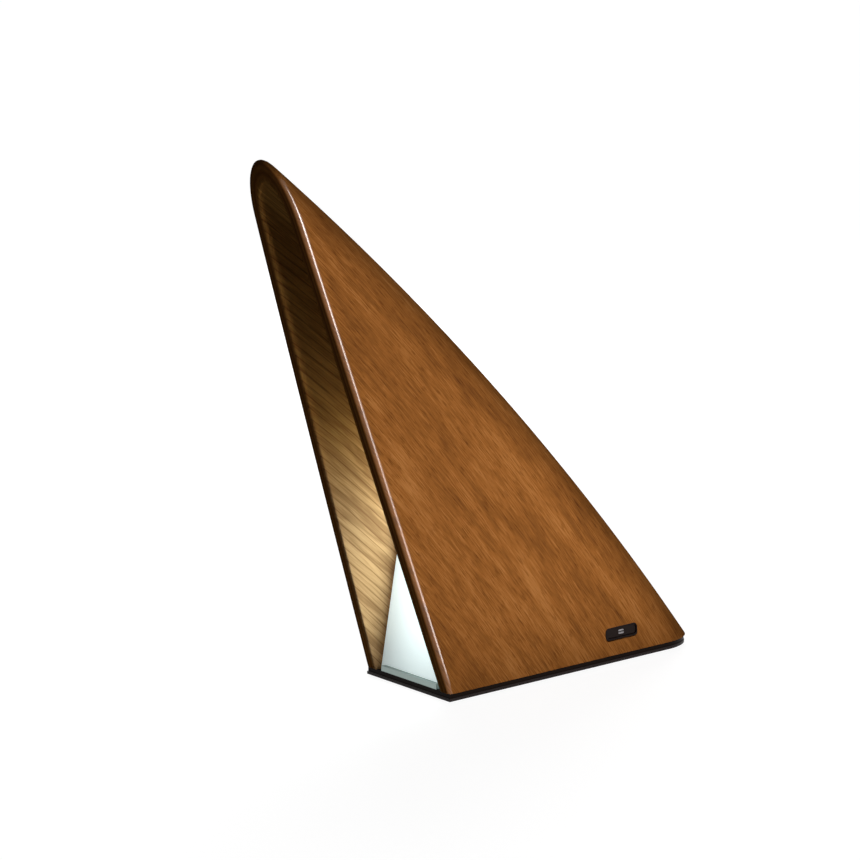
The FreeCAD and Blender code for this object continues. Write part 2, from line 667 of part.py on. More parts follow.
# Battery
def make_battery_cell():
    cell = Part.makeCylinder(CELL_RADIUS, CELL_LENGTH, Vector(0, CELL_Y, BAY_LOW + CONTACT_SPACE))
    rims = [edge for edge in cell.Edges if edge.BoundBox.ZLength < CELL_CHAMFER]
    return cell.makeChamfer(CELL_CHAMFER, rims)


def make_battery_holder():
    # Upright cradle, open at the back, with an ear on each side of its foot
    holder = box(-HOLDER_HALF, HOLDER_HALF, HOLDER_FRONT, HOLDER_BACK, Z_FOOT, HOLDER_TOP)
    ear_top = Z_FOOT + HOLDER_WALL
    for place in holder_screw_places():
        ear = Part.makeCylinder(HOLDER_EAR, HOLDER_WALL, place + Vector(0, 0, Z_FOOT))
        x0, x1 = sorted((0, place.x))
        neck = box(x0, x1, place.y - HOLDER_EAR, place.y + HOLDER_EAR, Z_FOOT, ear_top)
        holder = holder.fuse(ear).fuse(neck)
    holder = holder.removeSplitter()
    bay = Part.makeCylinder(CELL_RADIUS + CELL_FIT, BAY_TOP - BAY_LOW, Vector(0, CELL_Y, BAY_LOW))
    holder = holder.cut(bay)
    for place in holder_screw_places():
        hole = screw_hole(SMALL_SCREW, HOLDER_WALL)
        holder = holder.cut(hole.translated(place + Vector(0, 0, ear_top)))
    return holder


def contact_plate(wall_z, toward):
    # Plate against an end wall of the bay, with a nub that reaches the cell
    half = CONTACT_SIDE / 2
    z0, z1 = sorted((wall_z, wall_z + toward * CONTACT_THICK))
    plate = box(-half, half, CELL_Y - half, CELL_Y + half, z0, z1)
    nub = Part.makeCylinder(NUB_RADIUS, CONTACT_SPACE, Vector(0, CELL_Y, wall_z), UP * toward)
    return plate.fuse(nub).removeSplitter()


def make_battery_contacts():
    return Part.makeCompound([contact_plate(BAY_LOW, 1), contact_plate(BAY_TOP, -1)])


def make_holder_screws():
    screw = panhead(SMALL_SCREW, HOLDER_WALL + HOLDER_SCREW_GRIP)
    return Part.makeCompound([screw.translated(place + Vector(0, 0, Z_FOOT + HOLDER_WALL))
                              for place in holder_screw_places()])


# Control board and charging socket
def make_control_board():
    board = box(-CONTROL_HALF, CONTROL_HALF, CONTROL_Y0, CONTROL_Y1, CONTROL_Z, CONTROL_TOP)
    half = TONGUE_WIDTH / 2
    tongue = box(-half, half, CONTROL_Y1, CONTROL_Y1 + TONGUE_LENGTH, CONTROL_Z, CONTROL_TOP)
    board = board.fuse(tongue).removeSplitter()
    hole = screw_hole(SMALL_SCREW, CONTROL_THICK)
    for place in control_screw_places():
        board = board.cut(hole.translated(place + Vector(0, 0, CONTROL_TOP)))
    return board


def make_control_screws():
    screw = panhead(SMALL_SCREW, CONTROL_THICK + SMALL_SCREW_GRIP)
    return Part.makeCompound([screw.translated(place + Vector(0, 0, CONTROL_TOP))
                              for place in control_screw_places()])


def make_board_components():
    ports = [box(x - PORT_WIDTH / 2, x + PORT_WIDTH / 2, PORT_Y, PORT_Y + PORT_LENGTH,
                 CONTROL_TOP, CONTROL_TOP + PORT_HEIGHT) for x in (-PORT_X, PORT_X)]
    coil_y = REAR_SCREW_Y + COIL_RADIUS
    coil = Part.makeCylinder(COIL_RADIUS, COIL_HEIGHT, Vector(-CONTROL_HALF / 2, coil_y, CONTROL_TOP))
    chip_x = CONTROL_HALF / 2 - CHIP_SIDE / 2
    half = CHIP_SIDE / 2
    chip = box(chip_x - half, chip_x + half, coil_y - half, coil_y + half,
               CONTROL_TOP, CONTROL_TOP + CHIP_THICK)
    return Part.makeCompound(ports + [coil, chip])


def make_charging_socket():
    outside = socket_prism(SOCKET_WIDTH, SOCKET_HEIGHT, MOUTH_Y - SOCKET_LENGTH, MOUTH_Y)
    inside = socket_prism(SOCKET_WIDTH - 2 * SOCKET_WALL, SOCKET_HEIGHT - 2 * SOCKET_WALL,
                          MOUTH_Y - SOCKET_LENGTH + SOCKET_WALL, MOUTH_Y + SOCKET_WALL)
    return outside.cut(inside)


def make_socket_tongue():
    return box(-CONTACT_TONGUE_WIDTH / 2, CONTACT_TONGUE_WIDTH / 2,
               MOUTH_Y - SOCKET_LENGTH + SOCKET_WALL, MOUTH_Y - CONTACT_TONGUE_SHORT,
               SOCKET_Z - CONTACT_TONGUE_THICK / 2, SOCKET_Z + CONTACT_TONGUE_THICK / 2)


def make_socket_liner():
    far = Y_BACK + WALL
    width = PLUG_WIDTH + 2 * LINER_WALL
    height = PLUG_HEIGHT + 2 * LINER_WALL
    liner = socket_prism(width, height, MOUTH_Y - LINER_BACK, far).common(hood(LINER_RECESS))
    liner = liner.cut(socket_prism(PLUG_WIDTH, PLUG_HEIGHT, MOUTH_Y, far))
    hole_width = SOCKET_WIDTH + 2 * LINER_FIT
    hole_height = SOCKET_HEIGHT + 2 * LINER_FIT
    return liner.cut(socket_prism(hole_width, hole_height, MOUTH_Y - WALL, far))


# Push button
def cap_block(lap, depth0, depth1):
    return button_cut(lap - BEZEL_WALL - CAP_FIT, depth0, depth1)


def make_button_bezel():
    sleeve = button_cut(0, BEZEL_RECESS, FLANGE_BACK)
    length = BEZEL_LENGTH + 2 * BEZEL_POST_LAP
    height = BEZEL_HEIGHT + 2 * BEZEL_LAP
    flange = rounded_plate(length, height, BEZEL_CORNER, -FLANGE_BACK, -FLANGE_FRONT)
    bezel = sleeve.fuse(placed(flange, BUTTON))
    post_length = SWITCH_BOARD_FRONT - FLANGE_FRONT
    for place in switch_screw_places():
        post = Part.makeCylinder(POST_RADIUS, post_length, Vector(place.x, 0, -SWITCH_BOARD_FRONT))
        bezel = bezel.fuse(placed(post, BUTTON))
    bezel = bezel.removeSplitter().cut(button_cut(-BEZEL_WALL, -WALL, SWITCH_BOARD_BACK))
    for hole in switch_tool(screw_hole(SMALL_SCREW, SWITCH_SCREW_LENGTH)):
        bezel = bezel.cut(hole)
    return bezel


def light_mark(slack):
    # Window in the middle of the cap, or its hole with slack all round
    length = LIGHT_MARK_LENGTH + 2 * slack
    height = LIGHT_MARK_HEIGHT + 2 * slack
    back = CAP_RECESS + LIGHT_MARK_DEPTH + slack
    return placed(rounded_plate(length, height, LIGHT_MARK_CORNER, -back, slack - CAP_RECESS), BUTTON)


def make_button_cap():
    length = BEZEL_LENGTH - 2 * (BEZEL_WALL + CAP_FIT)
    height = BEZEL_HEIGHT - 2 * (BEZEL_WALL + CAP_FIT)
    corner = BEZEL_CORNER - BEZEL_WALL - CAP_FIT
    body = rounded_plate(length, height, corner, -CAP_BACK, -CAP_RECESS)
    crown = [edge for edge in body.Edges if edge.BoundBox.ZMin > -CAP_RECESS - CAP_CROWN]
    body = placed(body.makeFillet(CAP_CROWN, crown), BUTTON)
    cap = body.fuse(cap_block(BEZEL_WALL + CAP_LAP, CAP_FLANGE_FRONT, CAP_BACK)).removeSplitter()
    return cap.cut(light_mark(LIGHT_MARK_FIT))


def make_button_light():
    return light_mark(0)


def make_switch_plunger():
    length = PLUNGER_STAND + SWITCH_BODY / 2 - CAP_TRAVEL / 2
    return placed(Part.makeCylinder(PLUNGER_RADIUS, length, Vector(0, 0, -CAP_BACK), UP * -1), BUTTON)


def make_switch_body():
    block = rounded_plate(SWITCH_SIDE, SWITCH_SIDE, BODY_FIT, -SWITCH_BOARD_FRONT, -SWITCH_FRONT)
    well_depth = SWITCH_BODY / 2 + CAP_TRAVEL
    well = Part.makeCylinder(PLUNGER_RADIUS + PLUNGER_FIT, well_depth, Vector(0, 0, -SWITCH_FRONT), UP * -1)
    return placed(block.cut(well), BUTTON)


def make_switch_board():
    length = BEZEL_LENGTH + 2 * BEZEL_POST_LAP
    board = rounded_plate(length, SWITCH_BOARD_HEIGHT, BODY_FIT, -SWITCH_BOARD_BACK, -SWITCH_BOARD_FRONT)
    board = placed(board, BUTTON)
    for hole in switch_tool(screw_hole(SMALL_SCREW, SWITCH_SCREW_LENGTH)):
        board = board.cut(hole)
    return board


def make_switch_screws():
    return Part.makeCompound(switch_tool(panhead(SMALL_SCREW, SWITCH_SCREW_LENGTH)))


# Leads inside the lamp
def into_port(x):
    return [(x, PORT_Y - LEAD_STRAIGHT, PORT_Z), (x, PORT_Y, PORT_Z)]


def make_battery_leads():
    # The low one runs back under the cell, and the high one comes down behind it
    tab = CELL_Y + CONTACT_SIDE / 2
    behind = CELL_Y + CELL_RADIUS + LEAD_CHANNEL
    apart = LEAD_RADIUS + LEAD_APART / 2
    low = BAY_LOW + CONTACT_THICK / 2
    high = BAY_TOP - CONTACT_THICK / 2
    x = CONTACT_SIDE / 4
    under = [(-x, tab, low), (-x, behind, low)] + into_port(PORT_X - apart)
    over = [(x, tab, high), (x, behind, high), (x, behind, PORT_Z)] + into_port(PORT_X + apart)
    return Part.makeCompound([tube(under), tube(over)])


def make_led_lead():
    x = -ENGINE_SCREW_X
    board_middle = BOX_BACK + LED_BOARD_THICK / 2
    start = TILT.multVec(Vector(x, board_middle, LED_BOARD_LOW))
    drop = TILT.multVec(Vector(x, board_middle, LED_BOARD_LOW - LEAD_DROP))
    channel = -HOLDER_HALF - LEAD_CHANNEL
    beside = [(channel, HOLDER_FRONT, drop.z), (channel, CELL_Y + CELL_RADIUS, drop.z)]
    return tube([start, drop] + beside + into_port(-PORT_X))


def make_switch_lead():
    along = POST_ALONG - SMALL_SCREW_HEAD - 2 * LEAD_RADIUS
    start = BUTTON.multVec(Vector(along, 0, -SWITCH_BOARD_BACK))
    turn = BUTTON.multVec(Vector(along, 0, -SWITCH_BOARD_BACK - LEAD_STANDOFF))
    return tube([start, turn, (turn.x, turn.y, CONTROL_TOP)])


PARTS = {
    "wood_shell": make_wood_shell,
    "base_tray": make_base_tray,
    "bottom_plate": make_bottom_plate,
    "foot_pad": make_foot_pad,
    "plate_screws": make_plate_screws,
    "wood_screws": make_wood_screws,
    "light_panel": make_light_panel,
    "panel_rail": make_panel_rail,
    "light_box": make_light_box,
    "led_board": make_led_board,
    "led_chips": make_led_chips,
    "heat_sink": make_heat_sink,
    "engine_screws": make_engine_screws,
    "battery_cell": make_battery_cell,
    "battery_holder": make_battery_holder,
    "battery_contacts": make_battery_contacts,
    "holder_screws": make_holder_screws,
    "control_board": make_control_board,
    "control_screws": make_control_screws,
    "board_components": make_board_components,
    "charging_socket": make_charging_socket,
    "socket_tongue": make_socket_tongue,
    "socket_liner": make_socket_liner,
    "button_bezel": make_button_bezel,
    "button_cap": make_button_cap,
    "button_light": make_button_light,
    "switch_plunger": make_switch_plunger,
    "switch_body": make_switch_body,
    "switch_board": make_switch_board,
    "switch_screws": make_switch_screws,
    "battery_leads": make_battery_leads,
    "led_lead": make_led_lead,
    "switch_lead": make_switch_lead,
}

os.makedirs("parts", exist_ok=True)
for name, make in PARTS.items():
    shape = make()
    shape.exportStep("parts/" + name + ".step")
    print(name, round(shape.Volume, 1), len(shape.Solids), shape.isValid())
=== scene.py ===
import bpy
import bmesh
import json
from math import acos, asin, atan2, cos, hypot, pi, radians, sin, tan
from mathutils import Matrix, Vector


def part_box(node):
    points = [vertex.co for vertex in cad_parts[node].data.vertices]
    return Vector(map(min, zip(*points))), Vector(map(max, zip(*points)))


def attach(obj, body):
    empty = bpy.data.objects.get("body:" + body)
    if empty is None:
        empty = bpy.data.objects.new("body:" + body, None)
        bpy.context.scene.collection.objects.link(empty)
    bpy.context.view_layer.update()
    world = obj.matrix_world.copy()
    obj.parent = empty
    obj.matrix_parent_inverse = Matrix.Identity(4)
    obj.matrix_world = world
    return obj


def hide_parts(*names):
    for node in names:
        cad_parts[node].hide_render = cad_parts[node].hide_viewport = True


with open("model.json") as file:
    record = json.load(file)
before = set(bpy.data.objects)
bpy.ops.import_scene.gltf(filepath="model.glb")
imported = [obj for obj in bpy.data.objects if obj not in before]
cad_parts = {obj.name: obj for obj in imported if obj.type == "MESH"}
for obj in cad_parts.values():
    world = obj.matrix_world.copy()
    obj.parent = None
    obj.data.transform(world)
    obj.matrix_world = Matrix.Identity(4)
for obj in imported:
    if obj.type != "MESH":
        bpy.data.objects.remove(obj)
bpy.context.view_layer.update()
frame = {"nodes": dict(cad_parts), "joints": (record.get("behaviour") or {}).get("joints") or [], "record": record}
nodes = frame["nodes"]
scene = bpy.context.scene
mm = 0.001
print("frame loaded:", len(nodes), "nodes")


# General helpers

def hexColour(code):
    # sRGB hex to linear
    channels = [int(code[i:i + 2], 16) / 255 for i in (1, 3, 5)]
    linear = [c / 12.92 if c <= 0.04045 else ((c + 0.055) / 1.055) ** 2.4 for c in channels]
    return (*linear, 1)


def addNode(material, kind, settings=None, inputs=None, links=None):
    # one node with its settings, its input values and what feeds its inputs
    node = material.node_tree.nodes.new(kind)
    for key, value in (settings or {}).items():
        setattr(node, key, value)
    for key, value in (inputs or {}).items():
        node.inputs[key].default_value = value
    for key, source in (links or {}).items():
        material.node_tree.links.new(source, node.inputs[key])
    return node


def newMaterial(name):
    material = bpy.data.materials.new(name)
    material.use_nodes = True
    return material, material.node_tree.nodes["Principled BSDF"]


def connect(material, source, socket):
    material.node_tree.links.new(source, socket)


def toMesh(bm, name):
    mesh = bpy.data.meshes.new(name)
    bm.to_mesh(mesh)
    bm.free()
    return mesh


def addObject(name, data):
    item = bpy.data.objects.new(name, data)
    scene.collection.objects.link(item)
    return item


def newPiece(name, bm, material, body):
    # turns a bmesh into a piece that rides on a body
    piece = addObject(name, toMesh(bm, name))
    piece.data.materials.append(material)
    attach(piece, body)
    return piece


def finished(source):
    # gives the object its mesh with the modifiers applied
    bpy.context.view_layer.update()
    graph = bpy.context.evaluated_depsgraph_get()
    mesh = bpy.data.meshes.new_from_object(source.evaluated_get(graph))
    source.modifiers.clear()
    source.data = mesh


# Camera, where the photograph was taken from

shot = {
    "azimuth": 53.077,                    # degrees, from straight in front towards the right
    "elevation": 11.098,
    "target": Vector((0, -74.29, 130.13)) * mm,
    "distance": 1890 * mm,
    "lens": 160.09,
    "sensor": 36,
    "clip": (0.05, 100),                  # metres
}


def placeCamera():
    az = radians(shot["azimuth"])
    el = radians(shot["elevation"])
    back = Vector((sin(az) * cos(el), -cos(az) * cos(el), sin(el)))
    data = bpy.data.cameras.new("camera")
    data.sensor_width = shot["sensor"]
    data.lens = shot["lens"]
    data.clip_start, data.clip_end = shot["clip"]
    camera = addObject("camera", data)
    camera.location = shot["target"] + back * shot["distance"]
    camera.rotation_mode = "QUATERNION"
    camera.rotation_quaternion = (-back).to_track_quat("-Z", "Y")
    scene.camera = camera


placeCamera()
scene.view_settings.view_transform = "Standard"
print("camera placed")


# Materials

smooth = {"interpolation_type": "SMOOTHSTEP"}
colourMix = {"data_type": "RGBA"}
noiseSpan = {"From Min": 0.3, "From Max": 0.7}  # where most of a noise lies
wavePerUnit = pi / 10                     # scale at which the wave texture repeats once a unit

grainPatterns = {
    # width across the grain, and how many widths it is drawn out along it
    "figure": {"width": 15 * mm, "along": 6, "detail": 2.0, "distortion": 0.6},  # broad soft bands
    "rings": {"width": 5 * mm, "along": 12, "detail": 3.0, "distortion": 0.9},
    # fibre streaks and open pores, drawn about twice their real width to show
    "streaks": {"width": 0.6 * mm, "along": 26, "detail": 3.0, "distortion": 0.0},
    "pores": {"width": 0.5 * mm, "along": 16, "detail": 1.0, "distortion": 0.0},
    "growth": {"width": 3.8 * mm, "along": 6, "detail": 2.0, "distortion": 2.2},  # lines inside
}
grainRoughness = 0.55
growthDetailScale = 1.2

veneer = {
    "skew": 4,                            # degrees between the grain and the ridge
    "toneShares": {"figure": 0.8, "rings": 0.45},  # added to the streaks
    "toneSpan": (0.69, 1.59),             # sums that give the darkest and the lightest stain
    "dark": "#613A1A",
    "middle": "#8A5526",
    "light": "#A86F3B",
    "foldPaintedShade": 0.6,                      # painted shade on the fold, where the sheet turns away from the light
    "foldFrom": 8 * mm,                   # from the middle of the ridge
    "foldTo": 34 * mm,
    "poreSpan": (0.58, 0.70),             # noise from which a pore opens
    "poreShare": 0.55,
    "poreTint": "#ADA295",
    "poreDepth": 0.1 * mm,
    "paleStreaks": 0.5,                   # streaks added to the rings inside
    "paleSpan": (0.5, 1.0),
    "paleLeast": 0.35,
    "lineWidth": 0.1,                     # dark part of a growth line's wave
    "lineTone": 0.4,
    "insideDark": "#68462A",
    "insideLight": "#AC865E",
    "upperDark": "#663C18",               # painted tint of light bounced off the wood, more golden higher up towards the fold
    "upperLight": "#AE7A3E",
    "upperFrom": 75 * mm,
    "upperTo": 150 * mm,
    "ply": 1.3 * mm,
    "edgeDark": "#7A4A22",
    "edgeLight": "#94602E",
    "edgeOuter": 1.3 * mm,                # into the wall, where the plies start
    "edgeInner": 6.9 * mm,                # and where the pale veneer starts
    "edgeBlend": 0.6 * mm,
    "sheenSpread": 0.05,                  # of the roughness, from streak to streak
    "lacquerFrom": 13 * mm,               # from the middle of the ridge, where the edge starts to shine
}


def plyVeneer(name, roughness, reflectance, openPores):
    # moulded plywood: brown-stained veneer outside with painted shade on the fold, paler veneer with dark
    # growth lines inside and a painted golden tint of bounced light higher up, plies showing at the edge
    material, shader = newMaterial(name)
    uv = addNode(material, "ShaderNodeUVMap", {"uv_map": "veneer"})
    turned = addNode(material, "ShaderNodeMapping", None, {"Rotation": (0, 0, -radians(veneer["skew"]))},
                     {"Vector": uv.outputs["UV"]})
    wallDepth = addNode(material, "ShaderNodeAttribute", {"attribute_name": "wallDepth"}).outputs["Fac"]
    fromFold = addNode(material, "ShaderNodeAttribute", {"attribute_name": "fromFold"}).outputs["Fac"]

    grain = {}
    for pattern, look in grainPatterns.items():
        # coordinates in pattern widths, drawn out along the grain
        scale = (1 / (look["width"] * look["along"]), 1 / look["width"], 1)
        spot = addNode(material, "ShaderNodeMapping", None, {"Scale": scale},
                       {"Vector": turned.outputs["Vector"]})
        values = {"Detail": look["detail"], "Distortion": look["distortion"]}
        if pattern == "growth":
            kind = "ShaderNodeTexWave"
            settings = {"bands_direction": "Y"}
            values.update({"Scale": wavePerUnit, "Detail Scale": growthDetailScale})
        else:
            kind = "ShaderNodeTexNoise"
            settings = {"noise_dimensions": "2D"}
            values.update({"Scale": 1.0, "Roughness": grainRoughness})
        grain[pattern] = addNode(material, kind, settings, values,
                                 {"Vector": spot.outputs["Vector"]}).outputs["Fac"]

    # outside: bands, rings and streaks set the tone, painted shade on the fold and the pores darken it
    tone = grain["streaks"]
    for pattern, share in veneer["toneShares"].items():
        tone = addNode(material, "ShaderNodeMath", {"operation": "MULTIPLY_ADD"}, {1: share},
                       {0: grain[pattern], 2: tone}).outputs[0]
    level = addNode(material, "ShaderNodeMapRange", None,
                    {"From Min": veneer["toneSpan"][0], "From Max": veneer["toneSpan"][1]}, {"Value": tone})
    ramp = addNode(material, "ShaderNodeValToRGB", None, None, {"Fac": level.outputs["Result"]})
    steps = ramp.color_ramp.elements
    steps[0].color = hexColour(veneer["dark"])
    steps[1].color = hexColour(veneer["light"])
    steps.new(0.5).color = hexColour(veneer["middle"])
    # painted shade: the stain colour is darkened towards the middle of the ridge
    foldShade = addNode(material, "ShaderNodeMapRange", smooth,
                        {"From Min": veneer["foldFrom"], "From Max": veneer["foldTo"],
                         "To Min": veneer["foldPaintedShade"]}, {"Value": fromFold})
    stainedAndFoldShaded = addNode(material, "ShaderNodeVectorMath", {"operation": "SCALE"}, None,
                      {0: ramp.outputs["Color"], "Scale": foldShade.outputs["Result"]})
    poreMask = addNode(material, "ShaderNodeMapRange", smooth,
                       {"From Min": veneer["poreSpan"][0], "From Max": veneer["poreSpan"][1],
                        "To Max": veneer["poreShare"]}, {"Value": grain["pores"]}).outputs["Result"]
    outside = addNode(material, "ShaderNodeMix", {"data_type": "RGBA", "blend_type": "MULTIPLY"},
                      {"B": hexColour(veneer["poreTint"])},
                      {"Factor": poreMask, "A": stainedAndFoldShaded.outputs["Vector"]}).outputs["Result"]

    # inside: rings and streaks with dark growth lines, and higher up towards the fold a painted golden tint of
    # light bounced off the wood
    pale = addNode(material, "ShaderNodeMath", {"operation": "MULTIPLY_ADD"}, {1: veneer["paleStreaks"]},
                   {0: grain["streaks"], 2: grain["rings"]})
    pale = addNode(material, "ShaderNodeMapRange", smooth,
                   {"From Min": veneer["paleSpan"][0], "From Max": veneer["paleSpan"][1],
                    "To Min": veneer["paleLeast"]}, {"Value": pale.outputs[0]})
    line = addNode(material, "ShaderNodeMapRange", smooth,
                   {"From Max": veneer["lineWidth"], "To Min": veneer["lineTone"]},
                   {"Value": grain["growth"]})
    pale = addNode(material, "ShaderNodeMath", {"operation": "MULTIPLY"}, None,
                   {0: pale.outputs["Result"], 1: line.outputs["Result"]})
    place = addNode(material, "ShaderNodeTexCoord")
    height = addNode(material, "ShaderNodeSeparateXYZ", None, None, {"Vector": place.outputs["Object"]})
    # painted light: higher inside, a golden tint stands in for light bounced off the wood
    paintedBounceShare = addNode(material, "ShaderNodeMapRange", smooth,
                     {"From Min": veneer["upperFrom"], "From Max": veneer["upperTo"]},
                     {"Value": height.outputs["Z"]})
    inner = {}
    for part in ("inside", "upper"):
        shades = {"A": hexColour(veneer[part + "Dark"]), "B": hexColour(veneer[part + "Light"])}
        inner[part] = addNode(material, "ShaderNodeMix", colourMix, shades,
                              {"Factor": pale.outputs[0]}).outputs["Result"]
    inside = addNode(material, "ShaderNodeMix", colourMix, None,
                     {"Factor": paintedBounceShare.outputs["Result"], "A": inner["inside"], "B": inner["upper"]})

    # edge: plies, light and dark by turns
    plies = addNode(material, "ShaderNodeMath", {"operation": "PINGPONG"}, {1: veneer["ply"]}, {0: wallDepth})
    light = addNode(material, "ShaderNodeMapRange", smooth, {"From Max": veneer["ply"]},
                    {"Value": plies.outputs[0]})
    edge = addNode(material, "ShaderNodeMix", colourMix,
                   {"A": hexColour(veneer["edgeDark"]), "B": hexColour(veneer["edgeLight"])},
                   {"Factor": light.outputs["Result"]})

    # through the wall: the stained veneer, the plies, the pale veneer
    colour = outside
    for start, layer in ((veneer["edgeOuter"], edge), (veneer["edgeInner"], inside)):
        share = addNode(material, "ShaderNodeMapRange", smooth,
                        {"From Min": start - veneer["edgeBlend"], "From Max": start + veneer["edgeBlend"]},
                        {"Value": wallDepth})
        colour = addNode(material, "ShaderNodeMix", colourMix, None,
                         {"Factor": share.outputs["Result"], "A": colour,
                          "B": layer.outputs["Result"]}).outputs["Result"]
    connect(material, colour, shader.inputs["Base Color"])

    shine = addNode(material, "ShaderNodeMapRange", smooth,
                    {**noiseSpan, "To Min": (1 - veneer["sheenSpread"]) * roughness,
                     "To Max": (1 + veneer["sheenSpread"]) * roughness}, {"Value": grain["streaks"]})
    connect(material, shine.outputs["Result"], shader.inputs["Roughness"])
    relief = addNode(material, "ShaderNodeBump", {"invert": True},
                     {"Strength": openPores, "Distance": veneer["poreDepth"]}, {"Height": poreMask})
    connect(material, relief.outputs["Normal"], shader.inputs["Normal"])
    shader.inputs["Specular IOR Level"].default_value = reflectance
    return material


plain = {
    "grit": 0.4 * mm,                     # drawn coarser than the real grit, to show
    "detail": 2.0,
    "spread": 0.06,                       # of the roughness, each way
    "relief": 0.15,
    "reliefDepth": 0.02 * mm,
}


def grainyPlain(name, code, roughness, metallic=0.0, grit=plain["grit"], ior=1.5):
    # moulded, painted or cut surface of one colour: a fine grit breaks up its sheen
    material, shader = newMaterial(name)
    place = addNode(material, "ShaderNodeTexCoord")
    speckle = addNode(material, "ShaderNodeTexNoise", None, {"Scale": 1 / grit, "Detail": plain["detail"]},
                      {"Vector": place.outputs["Object"]})
    shine = addNode(material, "ShaderNodeMapRange", None,
                    {**noiseSpan, "To Min": roughness - plain["spread"],
                     "To Max": roughness + plain["spread"]}, {"Value": speckle.outputs["Fac"]})
    connect(material, shine.outputs["Result"], shader.inputs["Roughness"])
    relief = addNode(material, "ShaderNodeBump", None,
                     {"Strength": plain["relief"], "Distance": plain["reliefDepth"]},
                     {"Height": speckle.outputs["Fac"]})
    connect(material, relief.outputs["Normal"], shader.inputs["Normal"])
    shader.inputs["Base Color"].default_value = hexColour(code)
    shader.inputs["Metallic"].default_value = metallic
    if not metallic:
        shader.inputs["IOR"].default_value = ior
    return material


glow = {
    "middle": Vector((10, 0, 58)) * mm,   # brightest place on the panel
    "squeeze": 1.35,                      # narrower across than up
    "reach": 78 * mm,                     # where it has faded
    "edge": 0.3,
    "centre": 1.5,
    "light": "#EEFFFF",
    "acrylic": "#C8D2D2",
    "roughness": 0.45,
    "ior": 1.49,
    "panelTilt": 5.5,                     # degrees
    "lampSize": (22 * mm, 106 * mm),
    "lampRise": 63 * mm,                  # middle of the lit part above the foot
    "lampPower": 0.088,
    "lampColour": "#E4FDFF",
    "lampGap": 0.8 * mm,
}


def opalPanel():
    # opal acrylic lit from behind: cool white, fading away from the diodes
    material, shader = newMaterial("opalAcrylic")
    place = addNode(material, "ShaderNodeTexCoord")
    offset = addNode(material, "ShaderNodeVectorMath", {"operation": "SUBTRACT"}, {1: glow["middle"]},
                     {0: place.outputs["Object"]})
    flat = addNode(material, "ShaderNodeVectorMath", {"operation": "MULTIPLY"}, {1: (glow["squeeze"], 0, 1)},
                   {0: offset.outputs["Vector"]})
    away = addNode(material, "ShaderNodeVectorMath", {"operation": "LENGTH"}, None,
                   {0: flat.outputs["Vector"]})
    lit = addNode(material, "ShaderNodeMapRange", smooth,
                  {"From Max": glow["reach"], "To Min": glow["centre"], "To Max": glow["edge"]},
                  {"Value": away.outputs["Value"]})
    connect(material, lit.outputs["Result"], shader.inputs["Emission Strength"])
    shader.inputs["Emission Color"].default_value = hexColour(glow["light"])
    shader.inputs["Base Color"].default_value = hexColour(glow["acrylic"])
    shader.inputs["Roughness"].default_value = glow["roughness"]
    shader.inputs["IOR"].default_value = glow["ior"]
    return material


mark = {
    "middle": 16.0 * mm,                  # height of the gap between the two bars
    "gap": 0.35 * mm,                     # half of it
    "bar": "#8C8788",
    "between": "#1A1312",
    "roughness": 0.35,
    "ior": 1.3,
}


def barMark():
    # frosted acrylic light pipe behind a print that leaves two plain bars clear
    material, shader = newMaterial("frostedLightPipe")
    place = addNode(material, "ShaderNodeTexCoord")
    height = addNode(material, "ShaderNodeSeparateXYZ", None, None, {0: place.outputs["Object"]})
    offset = addNode(material, "ShaderNodeMath", {"operation": "SUBTRACT"}, {1: mark["middle"]},
                     {0: height.outputs["Z"]})
    away = addNode(material, "ShaderNodeMath", {"operation": "ABSOLUTE"}, None, {0: offset.outputs[0]})
    clear = addNode(material, "ShaderNodeMath", {"operation": "GREATER_THAN"}, {1: mark["gap"]},
                    {0: away.outputs[0]})
    colour = addNode(material, "ShaderNodeMix", colourMix,
                     {"A": hexColour(mark["between"]), "B": hexColour(mark["bar"])},
                     {"Factor": clear.outputs[0]})
    connect(material, colour.outputs["Result"], shader.inputs["Base Color"])
    shader.inputs["Roughness"].default_value = mark["roughness"]
    shader.inputs["IOR"].default_value = mark["ior"]
    return material


slotFinish = {
    "stained_ply": plyVeneer("stainedVeneer", roughness=0.5, reflectance=0.0, openPores=0.5),
    "dark_abs": grainyPlain("mouldedAbs", "#140B07", 0.4, ior=1.1),
    "plate_steel": grainyPlain("coatedSteel", "#1C1210", 0.42, grit=0.6 * mm, ior=1.2),
    "pad_rubber": grainyPlain("rubberSheet", "#161616", 0.8),
    "screw_steel": grainyPlain("zincScrew", "#B4B6B8", 0.32, metallic=1.0),
    "opal_acrylic": opalPanel(),
    "satin_aluminium": grainyPlain("anodisedAluminium", "#87938F", 0.38, metallic=1.0, grit=0.25 * mm),
    "white_abs": grainyPlain("whiteAbs", "#ECECE8", 0.5),
    "board_white": grainyPlain("whiteMask", "#EDEDEA", 0.45),
    "led_phosphor": grainyPlain("phosphorResin", "#EBDD96", 0.3),
    "cell_wrap": grainyPlain("shrinkSleeve", "#3C7CA0", 0.3),
    "nickel_strip": grainyPlain("nickelStrip", "#CFCBC3", 0.28, metallic=1.0),
    "board_green": grainyPlain("greenMask", "#1F5F3C", 0.42),
    "black_resin": grainyPlain("blackResin", "#1C1C1D", 0.5),
    "socket_steel": grainyPlain("drawnSteel", "#BDBDBD", 0.3, metallic=1.0),
    "button_black": grainyPlain("satinBlackAbs", "#1A110E", 0.4, ior=1.12),
    "light_mark": barMark(),
    "lead_cover": grainyPlain("leadInsulation", "#262626", 0.55),
}


def dressNodes():
    # every carried-over node takes the finish of its slot
    for row in frame["record"]["subparts"]:
        mesh = nodes[row["node"]].data
        mesh.materials.clear()
        mesh.materials.append(slotFinish[row["material_slot"]])


dressNodes()
print("materials made:", len(slotFinish))


# Hood of moulded plywood

